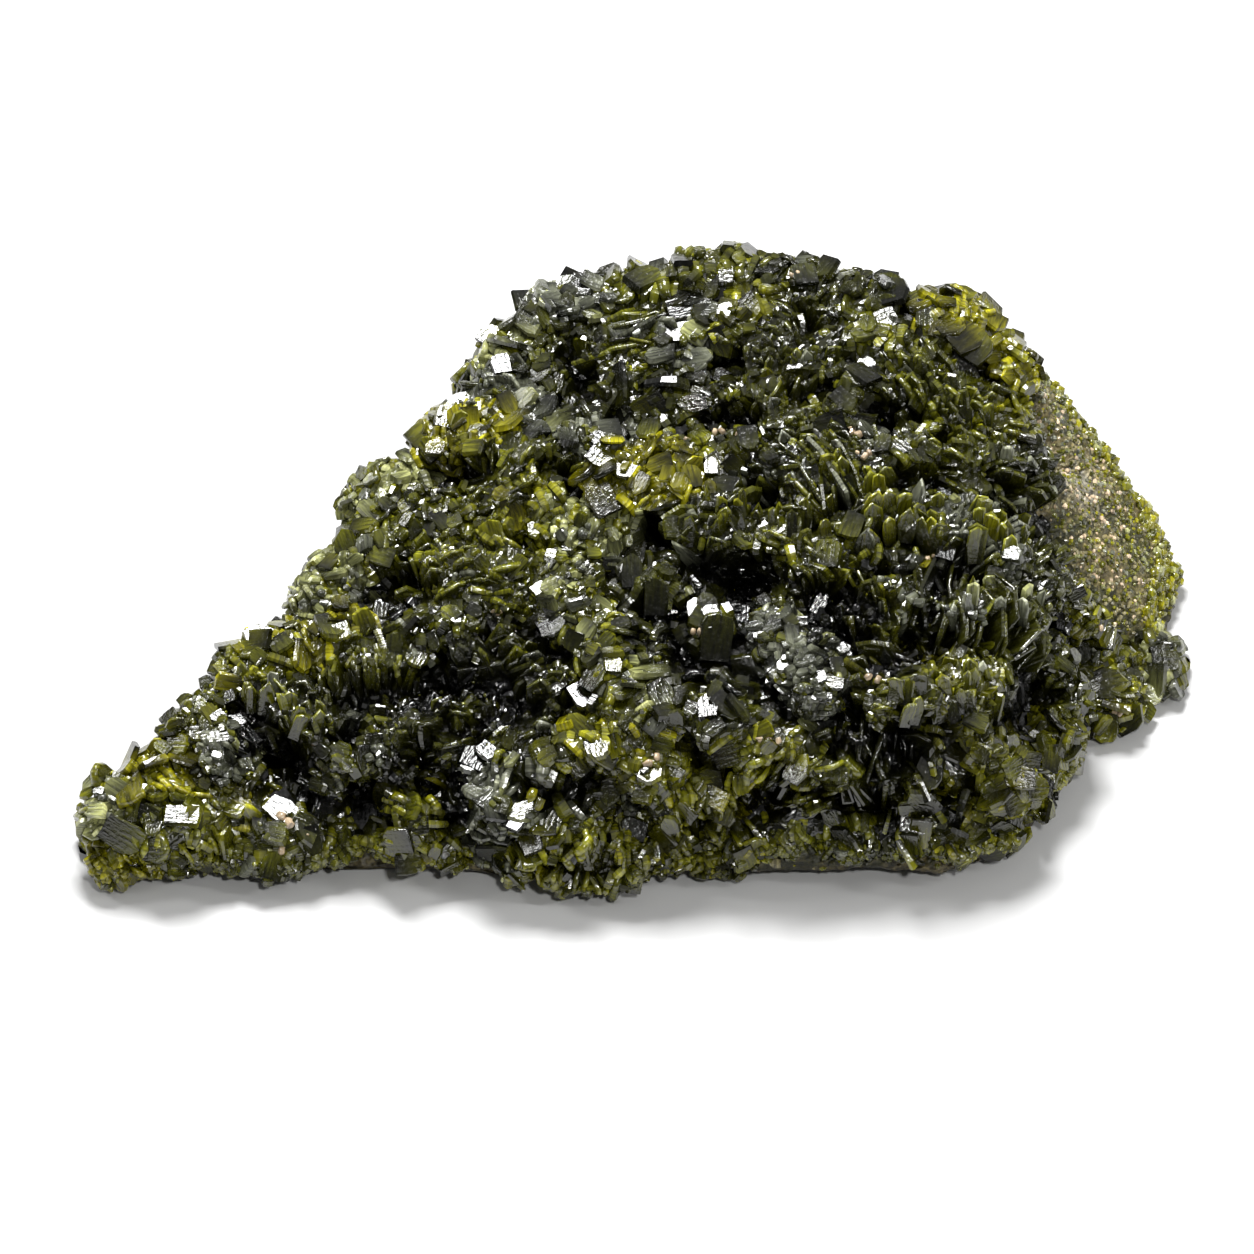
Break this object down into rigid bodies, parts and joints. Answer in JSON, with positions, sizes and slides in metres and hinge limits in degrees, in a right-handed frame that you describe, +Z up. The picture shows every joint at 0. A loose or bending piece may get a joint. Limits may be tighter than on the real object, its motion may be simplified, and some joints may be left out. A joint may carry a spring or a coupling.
{
  "type": "mineral specimen",
  "caption": "Loose epidote specimen: fanned sheaves of dark green bladed crystals grown together over a thin plate of host rock, for display on a flat surface.",
  "frame": {"origin": "on the resting plane, below the middle of the specimen's box", "axes": "+X to the right along the specimen's length, +Y to its back, +Z up from the resting face"},
  "size_m": [0.1008, 0.0598, 0.0285],
  "materials": {
    "host_rock": "rough granular grey, olive and tan",
    "epidote": "glassy, dark olive to nearly black, yellow green where thin"
  },
  "bodies": {
    "root": {"matrix_rock": "host_rock", "epidote_crystals": "epidote"}
  },
  "joints": []
}
